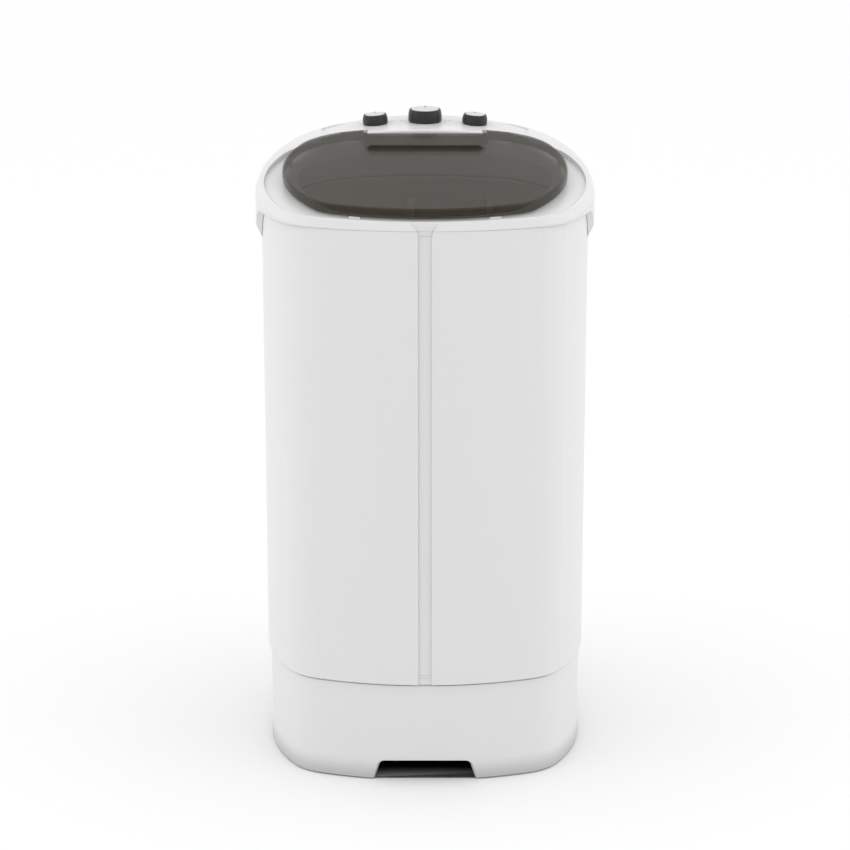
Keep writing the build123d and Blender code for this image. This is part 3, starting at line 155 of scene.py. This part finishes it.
def mouldedPlastic(name, look):
    # injection-moulded plastic: colour drifts slightly, the sheen wanders, a fine tool grain
    look = {**plasticLook, **look}
    mat, tree, shader = emptyMaterial(name)
    vector = objectCoords(tree)
    drift = noise(tree, vector, look["driftScale"], look["driftDetail"])
    darker = [level * (1 - look["spread"]) for level in look["colour"]]
    lighter = [min(1, level * (1 + look["spread"])) for level in look["colour"]]
    colour = mixColours(tree, drift, darker, lighter)
    # the colour may carry painted shade towards the floor
    if "lowShadeTo" in look:
        colour = paintedLowShade(tree, colour, look)
    tree.links.new(colour, shader.inputs["Base Color"])
    smears = noise(tree, vector, look["smearScale"], look["smearDetail"])
    wanderingSheen(tree, shader, smears, look)
    grain = noise(tree, vector, look["grainScale"])
    bumped(tree, shader, grain, look["grainDepth"], look["grainHeight"], look["edge"])
    setSocket(shader, "Specular IOR Level", look["specular"])
    return mat


smokeLook = dict(cloudScale=11.0, cloudDetail=3.0, handlingScale=60.0, handlingDetail=5.0, sheen=(0.8, 1.3),
                 rippleScale=300.0, rippleDepth=0.02, rippleHeight=0.0003)


def smokedPlastic(name, look):
    # clear plastic with a smoke tint, so what lies under it shows faintly
    look = {**smokeLook, **look}
    mat, tree, shader = emptyMaterial(name)
    vector = objectCoords(tree)
    tinted(tree, shader, noise(tree, vector, look["cloudScale"], look["cloudDetail"]), look)
    handling = noise(tree, vector, look["handlingScale"], look["handlingDetail"])
    wanderingSheen(tree, shader, handling, look)
    ripples = noise(tree, vector, look["rippleScale"])
    bumped(tree, shader, ripples, look["rippleDepth"], look["rippleHeight"])
    setSocket(shader, "Specular IOR Level", look["specular"])
    setSocket(shader, "Alpha", look["alpha"])
    return mat


metalLook = dict(stretch=(1, 1, 1), markDetail=3.0, sheen=(0.8, 1.25), finer=2.5, markHeight=0.0004)


def metal(name, look):
    # plated, ground or cast metal; the stretch gives ground marks their direction
    look = {**metalLook, **look}
    mat, tree, shader = emptyMaterial(name)
    vector = objectCoords(tree, look["stretch"])
    marks = noise(tree, vector, look["markScale"], look["markDetail"])
    tinted(tree, shader, marks, look)
    wanderingSheen(tree, shader, marks, look)
    fineMarks = noise(tree, vector, look["markScale"] * look["finer"])
    bumped(tree, shader, fineMarks, look["depth"], look["markHeight"])
    setSocket(shader, "Metallic", 1.0)
    return mat


rubberLook = dict(dustScale=45.0, dustDetail=5.0, rough=1.0, sheen=(0.65, 0.85), stippleDepth=0.25,
                  stippleHeight=0.0005, specular=0.35)


def rubber(name, look):
    # matt rubber with a fine stipple and a little dust
    look = {**rubberLook, **look}
    mat, tree, shader = emptyMaterial(name)
    vector = objectCoords(tree)
    dust = noise(tree, vector, look["dustScale"], look["dustDetail"])
    tinted(tree, shader, dust, look)
    wanderingSheen(tree, shader, dust, look)
    stipple = addNode(tree, "ShaderNodeTexVoronoi", Scale=look["stipple"])
    tree.links.new(vector, stipple.inputs["Vector"])
    bumped(tree, shader, stipple.outputs["Distance"], look["stippleDepth"], look["stippleHeight"])
    setSocket(shader, "Specular IOR Level", look["specular"])
    return mat


gauzeLook = dict(wobble=0.3, openness=(0.35, 1.0), threadDepth=0.6, threadHeight=0.0003, rough=0.6)


def wovenMesh(name, look):
    # nylon gauze: two sets of threads, with the gaps between them see-through
    look = {**gauzeLook, **look}
    mat, tree, shader = emptyMaterial(name)
    vector = objectCoords(tree)
    threads = []
    for axis in ("X", "Z"):
        wave = addNode(tree, "ShaderNodeTexWave", Scale=look["threads"], Distortion=look["wobble"])
        wave.bands_direction = axis
        tree.links.new(vector, wave.inputs["Vector"])
        threads.append(wave.outputs["Fac"])
    gauze = mathNode(tree, "MAXIMUM", *threads)
    tinted(tree, shader, gauze, look)
    tree.links.new(spanned(tree, gauze, *look["openness"]), shader.inputs["Alpha"])
    bumped(tree, shader, gauze, look["threadDepth"], look["threadHeight"])
    setSocket(shader, "Roughness", look["rough"])
    return mat


# the finishes, each with what makes it and its own settings
finishes = {
    "cabinetWhite": (mouldedPlastic, dict(colour=(0.74, 0.74, 0.745), rough=0.34, spread=0.006,
                                          grainDepth=0.03, edge=0.0015)),
    "collarWhite": (mouldedPlastic, dict(colour=(0.72, 0.72, 0.725), rough=0.34, spread=0.006,
                                         grainDepth=0.03, edge=0.0018)),
    # the base's colour greys towards the floor as painted shade
    "baseWhite": (mouldedPlastic, dict(colour=(0.74, 0.74, 0.745), rough=0.36, spread=0.006,
                                       grainDepth=0.03, edge=0.0015, lowShadeTo=0.036, lowShadeLevel=0.66)),
    "panelWhite": (mouldedPlastic, dict(colour=(0.68, 0.68, 0.685), rough=0.5, spread=0.015,
                                        grainDepth=0.15)),
    "overlaySilver": (mouldedPlastic, dict(colour=(0.69, 0.69, 0.695), rough=0.36, spread=0.006,
                                           grainScale=2400.0, grainDepth=0.1)),
    "smokedLid": (smokedPlastic, dict(dark=(0.047, 0.039, 0.026), light=(0.052, 0.044, 0.031), rough=0.16,
                                      specular=0.05, alpha=0.56)),
    # a darker smoke for the plate under the lid's rear, as painted shade
    "hingeShadeSmoke": (smokedPlastic, dict(dark=(0.030, 0.024, 0.017), light=(0.034, 0.028, 0.020), rough=0.3,
                                       specular=0.05, alpha=0.57)),
    "knobGrey": (mouldedPlastic, dict(colour=(0.017, 0.017, 0.018), rough=0.42, spread=0.08,
                                      grainDepth=0.2, specular=0.4)),
    "capSilver": (mouldedPlastic, dict(colour=(0.58, 0.58, 0.585), rough=0.3, spread=0.01)),
    "printGrey": (mouldedPlastic, dict(colour=(0.20, 0.20, 0.205), rough=0.55, spread=0.05,
                                       grainDepth=0.1)),
    "tubWhite": (mouldedPlastic, dict(colour=(0.76, 0.765, 0.755), rough=0.4)),
    "filterGrey": (mouldedPlastic, dict(colour=(0.40, 0.42, 0.44), rough=0.45, spread=0.03)),
    "switchBlack": (mouldedPlastic, dict(colour=(0.045, 0.045, 0.047), rough=0.5, spread=0.1,
                                         grainDepth=0.25)),
    "pulleyBlack": (mouldedPlastic, dict(colour=(0.06, 0.06, 0.062), rough=0.45, spread=0.1,
                                         grainDepth=0.25)),
    "hoseGrey": (mouldedPlastic, dict(colour=(0.33, 0.34, 0.35), rough=0.55, spread=0.05)),
    "cableBlack": (rubber, dict(dark=(0.026, 0.026, 0.028), light=(0.040, 0.040, 0.042), stipple=1500.0)),
    "rubberBlack": (rubber, dict(dark=(0.022, 0.022, 0.023), light=(0.036, 0.036, 0.037), stipple=900.0)),
    "bumperWhite": (rubber, dict(dark=(0.64, 0.64, 0.64), light=(0.72, 0.72, 0.72), stipple=900.0)),
    "meshNylon": (wovenMesh, dict(dark=(0.55, 0.56, 0.57), light=(0.74, 0.75, 0.76), threads=260.0)),
    "zincSteel": (metal, dict(dark=(0.55, 0.56, 0.57), light=(0.68, 0.69, 0.70), rough=0.32,
                              markScale=160.0, depth=0.08)),
    "shaftSteel": (metal, dict(dark=(0.55, 0.55, 0.56), light=(0.64, 0.64, 0.65), rough=0.2,
                               markScale=300.0, depth=0.06, stretch=(1, 1, 12))),
    "castAluminium": (metal, dict(dark=(0.52, 0.53, 0.55), light=(0.66, 0.67, 0.69), rough=0.5,
                                  markScale=420.0, depth=0.35)),
    "sinteredBrass": (metal, dict(dark=(0.52, 0.37, 0.16), light=(0.64, 0.48, 0.23), rough=0.42,
                                  markScale=700.0, depth=0.2)),
}
materials = {name: make(name, look) for name, (make, look) in finishes.items()}

# which nodes wear which finish
wears = {
    "cabinetWhite": ["cabinet_shell"],
    "baseWhite": ["base_skirt"],
    "collarWhite": ["top_deck"],
    "panelWhite": ["rear_cover"],
    "overlaySilver": ["console_overlay"],
    "smokedLid": ["lid_panel"],
    "knobGrey": ["timer_knob", "level_knob", "mode_knob"],
    "capSilver": ["timer_knob_cap", "level_knob_cap", "mode_knob_cap"],
    "tubWhite": ["tub", "pulsator", "pulsator_cap", "filter_housing", "bearing_housing"],
    "filterGrey": ["filter_frame"],
    "meshNylon": ["filter_mesh"],
    "switchBlack": ["timer_body", "level_switch_body", "mode_switch_body", "hinge_bushings", "capacitor",
                    "harness_clips"],
    "pulleyBlack": ["driven_pulley", "motor_pulley", "motor_fan"],
    "rubberBlack": ["foot_pads", "tub_gasket", "shaft_seal", "motor_dampers", "drive_belt", "cord_gland"],
    "bumperWhite": ["lid_bumpers"],
    "hoseGrey": ["inner_drain_hose", "drain_outlet"],
    "cableBlack": ["wiring_harness"],
    "zincSteel": ["motor_bracket", "capacitor_clip", "cover_screws", "case_screws", "deck_screws",
                  "housing_screws", "bracket_screws", "motor_bolts", "hose_clamps", "pulley_nut",
                  "pulsator_screw", "lid_hinge_pins", "timer_spindle", "level_spindle", "mode_spindle"],
    "shaftSteel": ["drive_shaft", "motor_shaft"],
    "castAluminium": ["motor_housing"],
    "sinteredBrass": ["shaft_bushings"],
}


def dress(thing, finish):
    slots = thing.data.materials
    slots.clear()
    slots.append(finish)


for finish, names in wears.items():
    for name in names:
        dress(nodes[name], materials[finish])
print("materials made:", len(materials))

aboveAll = 2.0  # a height over the whole machine


# steps that the new pieces share
def surfaceUnder(x, y):
    # where a straight look down from above meets the machine, and which way that place faces
    graph = bpy.context.evaluated_depsgraph_get()
    place, normal = scene.ray_cast(graph, (x, y, aboveAll), (0, 0, -1))[1:3]
    return place, normal


def deselectAll():
    bpy.ops.object.select_all(action="DESELECT")


def blockOf(size):
    # a plain block round the origin, at its real size
    deselectAll()
    bpy.ops.mesh.primitive_cube_add(size=1)
    block = bpy.context.object
    block.scale = size
    bpy.ops.object.transform_apply(location=False, rotation=False, scale=True)
    return block


def softBar(size, edge):
    # a bar with softened edges
    bar = blockOf(size)
    bpy.ops.object.mode_set(mode="EDIT")
    bpy.ops.mesh.select_all(action="SELECT")
    bpy.ops.mesh.bevel(offset=edge, segments=2, affect="EDGES")
    bpy.ops.object.mode_set(mode="OBJECT")
    return bar


def laidOn(piece, place, normal, turn):
    # sets a flat piece on a surface, turned about the way that the surface faces
    slant = Vector((0, 0, 1)).rotation_difference(normal).to_matrix().to_4x4()
    piece.matrix_world = Matrix.Translation(place) @ slant @ Matrix.Rotation(turn, 4, "Z")


def finishPiece(pieces, name, finish, body):
    # one mesh at the origin, riding on its body
    deselectAll()
    for piece in pieces:
        piece.select_set(True)
    bpy.context.view_layer.objects.active = pieces[0]
    if len(pieces) > 1:
        bpy.ops.object.join()
    bpy.ops.object.transform_apply(location=True, rotation=True, scale=True)
    whole = bpy.context.object
    whole.name = name
    dress(whole, materials[finish])
    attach(whole, body)


# ticks and plain numbers printed round each knob
printing = dict(raised=0.00012, softened=0.6, figureAway=0.75)
smallDial = dict(clear=0.003, long=0.0036, short=0.0036, width=0.0008, firstTurn=-60, lastTurn=60, marks=3,
                 figures=("1", "2", "3"), figureSize=0.0052)
dials = {
    "timer": dict(knob="timer_knob", clear=0.0035, long=0.0042, short=0.0026, width=0.0007, firstTurn=-160,
                  lastTurn=160, marks=17, figures=("0", "4", "8", "12", "16"), figureSize=0.0058),
    "level": dict(smallDial, knob="level_knob"),
    "mode": dict(smallDial, knob="mode_knob"),
}


def placeRound(middle, away, turn):
    return surfaceUnder(middle[0] - away * math.sin(turn), middle[1] + away * math.cos(turn))


def printedTick(width, length, place, normal, turn):
    tick = softBar((width, length, 2 * printing["raised"]), printing["raised"] * printing["softened"])
    laidOn(tick, place, normal, turn)
    return tick


def printedFigure(text, size, place, normal):
    deselectAll()
    bpy.ops.object.text_add()
    figure = bpy.context.object
    figure.data.body = text
    figure.data.size = size
    figure.data.align_x = "CENTER"
    figure.data.align_y = "CENTER"
    figure.data.extrude = printing["raised"]
    bpy.ops.object.convert(target="MESH")
    figure = bpy.context.object
    laidOn(figure, place, normal, 0)
    return figure


for dialName, dial in dials.items():
    low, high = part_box(dial["knob"])
    middle = ((low[0] + high[0]) / 2, (low[1] + high[1]) / 2)
    ring = (high[0] - low[0]) / 2 + dial["clear"]
    steps = dial["marks"] - 1
    stepsPerFigure = steps // (len(dial["figures"]) - 1)
    printed = []
    for index in range(dial["marks"]):
        share = index / steps
        turn = -math.radians(dial["firstTurn"] + share * (dial["lastTurn"] - dial["firstTurn"]))
        numbered = index % stepsPerFigure == 0
        length = dial["long"] if numbered else dial["short"]
        place, normal = placeRound(middle, ring + length / 2, turn)
        printed.append(printedTick(dial["width"], length, place, normal, turn))
        if numbered:
            figureRing = ring + length + dial["figureSize"] * printing["figureAway"]
            place, normal = placeRound(middle, figureRing, turn)
            text = dial["figures"][index // stepsPerFigure]
            printed.append(printedFigure(text, dial["figureSize"], place, normal))
    finishPiece(printed, dialName + "Marks", "printGrey", "cabinet")

# the raised line on each cap that points at a mark
smallPointer = dict(length=0.0075, width=0.0013, raised=0.0003, softened=0.5, fromEdge=0.0015)
pointers = {
    "timer": dict(smallPointer, cap="timer_knob_cap", body="timer_control", length=0.0105, width=0.0016),
    "level": dict(smallPointer, cap="level_knob_cap", body="level_control"),
    "mode": dict(smallPointer, cap="mode_knob_cap", body="mode_control"),
}
for pointerName, pointer in pointers.items():
    low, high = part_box(pointer["cap"])
    reach = (high[1] - low[1]) / 2 - pointer["length"] / 2 - pointer["fromEdge"]
    place, normal = surfaceUnder((low[0] + high[0]) / 2, (low[1] + high[1]) / 2 + reach)
    line = softBar((pointer["width"], pointer["length"], 2 * pointer["raised"]),
                   pointer["raised"] * pointer["softened"])
    laidOn(line, place, normal, 0)
    finishPiece([line], pointerName + "Pointer", "knobGrey", pointer["body"])
print("dial marks and pointers made")

# a darker plate under the lid beside its hinge, doubling the smoked plastic there; it is painted shade for
# the shaded wall under the lid's rear, and shows through as a darker band
band = dict(halfWidth=0.092, deep=0.078, thick=0.0014, corner=0.009, cornerSteps=6, softened=0.2,
            below=0.0031, clear=0.0130, searchFrom=0.125, searchTo=0.145, searchStep=0.001, slack=0.002)
# steps back over the lid until the next place is the deck's tongue, which stands higher
tongueEdge = band["searchFrom"]
lidLevel = surfaceUnder(0, tongueEdge)[0].z + band["slack"]
while tongueEdge < band["searchTo"] and surfaceUnder(0, tongueEdge + band["searchStep"])[0].z <= lidLevel:
    tongueEdge += band["searchStep"]
place, faces = surfaceUnder(0, tongueEdge - band["clear"] - band["deep"] / 2)
shadePlate = blockOf((2 * band["halfWidth"], band["deep"], band["thick"]))
bpy.ops.object.mode_set(mode="EDIT")
bpy.ops.mesh.select_all(action="DESELECT")
bpy.ops.object.mode_set(mode="OBJECT")
for edge in shadePlate.data.edges:
    ends = [shadePlate.data.vertices[index].co for index in edge.vertices]
    upright = abs(ends[0].z - ends[1].z) > band["thick"] / 2
    edge.select = upright and ends[0].y < 0  # the two upright edges at the front
bpy.ops.object.mode_set(mode="EDIT")
bpy.ops.mesh.select_mode(type="EDGE")
bpy.ops.mesh.bevel(offset=band["corner"], segments=band["cornerSteps"], affect="EDGES")
bpy.ops.mesh.select_all(action="SELECT")
bpy.ops.mesh.bevel(offset=band["thick"] * band["softened"], segments=1, affect="EDGES")
bpy.ops.object.mode_set(mode="OBJECT")
laidOn(shadePlate, place - faces * band["below"], faces, 0)
finishPiece([shadePlate], "lidHingeShadePlate", "hingeShadeSmoke", "lid")
print("lid band made, the tongue behind it starts at", round(tongueEdge, 4))

# the camera looks down at the machine from the front, through a long lens
cameraSetup = dict(place=(0, -4.3725, 1.811), pitchDown=17.0, lens=126.25, clipEnd=100)
bpy.ops.object.camera_add(location=cameraSetup["place"],
                          rotation=(math.radians(90 - cameraSetup["pitchDown"]), 0, 0))
camera = bpy.context.object
camera.data.lens = cameraSetup["lens"]
camera.data.clip_end = cameraSetup["clipEnd"]
scene.camera = camera
scene.view_settings.view_transform = "Standard"
print("camera placed")


def seenBy(tree):
    # 1 where the camera, a reflection or a view through plastic looks at the backdrop
    rays = tree.nodes.new("ShaderNodeLightPath").outputs
    seen = mathNode(tree, "MAXIMUM", rays["Is Camera Ray"], rays["Is Glossy Ray"])
    return mathNode(tree, "MAXIMUM", seen, rays["Is Transmission Ray"])


def matt(shader, rough):
    setSocket(shader, "Roughness", rough)
    setSocket(shader, "Specular IOR Level", 0.0)


# a paper floor that looks white, yet throws less light back at the machine
paperFloor = dict(size=60, colour=0.62, seen=0.876, rough=0.9)
deselectAll()
bpy.ops.mesh.primitive_plane_add(size=paperFloor["size"])
floor = bpy.context.object
floor.name = "studioFloor"
floorMat, tree, paper = emptyMaterial("floorPaper")
paperShade = mixColours(tree, seenBy(tree), [paperFloor["colour"]] * 3, [paperFloor["seen"]] * 3)
tree.links.new(paperShade, paper.inputs["Base Color"])
matt(paper, paperFloor["rough"])
dress(floor, floorMat)

# a dark sheet under the machine, in the base's own outline, keeps the white floor out of its inside; it is
# painted shadow, dark inside the base and fading lighter towards the front edge
under = dict(inset=0.982, height=0.0004, sliceAbove=0.004, shadowFadeDepth=0.052, edgeShade=0.62, shade=0.012,
             rough=0.95)
deselectAll()
low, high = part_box("base_skirt")
shadowSheet = bpy.data.objects.new("studioShadowSheet", nodes["base_skirt"].data.copy())
scene.collection.objects.link(shadowSheet)
shadowSheet.select_set(True)
bpy.context.view_layer.objects.active = shadowSheet
bpy.ops.object.mode_set(mode="EDIT")
bpy.ops.mesh.select_all(action="SELECT")
bpy.ops.mesh.bisect(plane_co=(0, 0, low[2] + under["sliceAbove"]), plane_no=(0, 0, 1), clear_outer=True,
                    clear_inner=True)
bpy.ops.mesh.select_all(action="SELECT")
bpy.ops.mesh.convex_hull()
bpy.ops.object.mode_set(mode="OBJECT")
middleY = (low[1] + high[1]) / 2
shadowSheet.scale = (under["inset"], under["inset"], 1)
shadowSheet.location = (0, middleY * (1 - under["inset"]), under["height"] - low[2] - under["sliceAbove"])
bpy.ops.object.transform_apply(location=True, rotation=False, scale=True)
shadowSheetMat, tree, shadowSheetShader = emptyMaterial("shadowSheetBlack")
shadowSheetPlace = tree.nodes.new("ShaderNodeSeparateXYZ")
tree.links.new(objectCoords(tree), shadowSheetPlace.inputs[0])
# painted shadow: the sheet is darkest inside the base and lightens towards the front
shadeFade = addNode(tree, "ShaderNodeMapRange", From_Min=low[1], From_Max=low[1] + under["shadowFadeDepth"],
               To_Min=1.0, To_Max=0.0)
tree.links.new(shadowSheetPlace.outputs["Y"], shadeFade.inputs["Value"])
paintedShadowShade = mixColours(tree, shadeFade.outputs["Result"], [under["shade"]] * 3, [under["edgeShade"]] * 3)
tree.links.new(paintedShadowShade, shadowSheetShader.inputs["Base Color"])
matt(shadowSheetShader, under["rough"])
dress(shadowSheet, shadowSheetMat)

# a soft tent of light, brighter at both sides than in front and a little dimmer above
tent = dict(front=1.035, sides=0.48, above=-0.16, seen=1.0)
world = bpy.data.worlds.new("studioWorld")
scene.world = world
world.use_nodes = True
tree = world.node_tree
sky = tree.nodes["Background"]
setSocket(sky, "Color", (1, 1, 1, 1))
direction = tree.nodes.new("ShaderNodeTexCoord").outputs["Generated"]
parts = tree.nodes.new("ShaderNodeSeparateXYZ")
tree.links.new(direction, parts.inputs[0])
across = mathNode(tree, "ABSOLUTE", parts.outputs["X"])
sides = mathNode(tree, "MULTIPLY_ADD", across, tent["sides"], tent["front"])
glow = mathNode(tree, "MULTIPLY_ADD", parts.outputs["Z"], tent["above"], sides)
skyLevel = tree.nodes.new("ShaderNodeMix")  # inputs: 0 the amount, 2 and 3 the two numbers
tree.links.new(seenBy(tree), skyLevel.inputs[0])
tree.links.new(glow, skyLevel.inputs[2])
skyLevel.inputs[3].default_value = tent["seen"]
tree.links.new(skyLevel.outputs[0], sky.inputs["Strength"])

# the soft boxes that shape the sides and the top
sideBox = dict(target=(0, 0, 0.5), watts=5.5, size=2.2)
softBoxes = {
    "leftBox": dict(sideBox, place=(-2.6, -0.4, 1.4)),
    "rightBox": dict(sideBox, place=(2.6, -0.4, 1.4)),
    "topBox": dict(place=(0, 0.2, 3.2), target=(0, 0, 0.9), watts=1.5, size=2.0),
}
for boxName, box in softBoxes.items():
    bpy.ops.object.light_add(type="AREA", location=box["place"])
    lamp = bpy.context.object
    lamp.name = boxName
    lamp.data.energy = box["watts"]
    lamp.data.size = box["size"]
    lamp.rotation_mode = "QUATERNION"
    lamp.rotation_quaternion = (lamp.location - Vector(box["target"])).to_track_quat("Z", "Y")
print("studio lit")
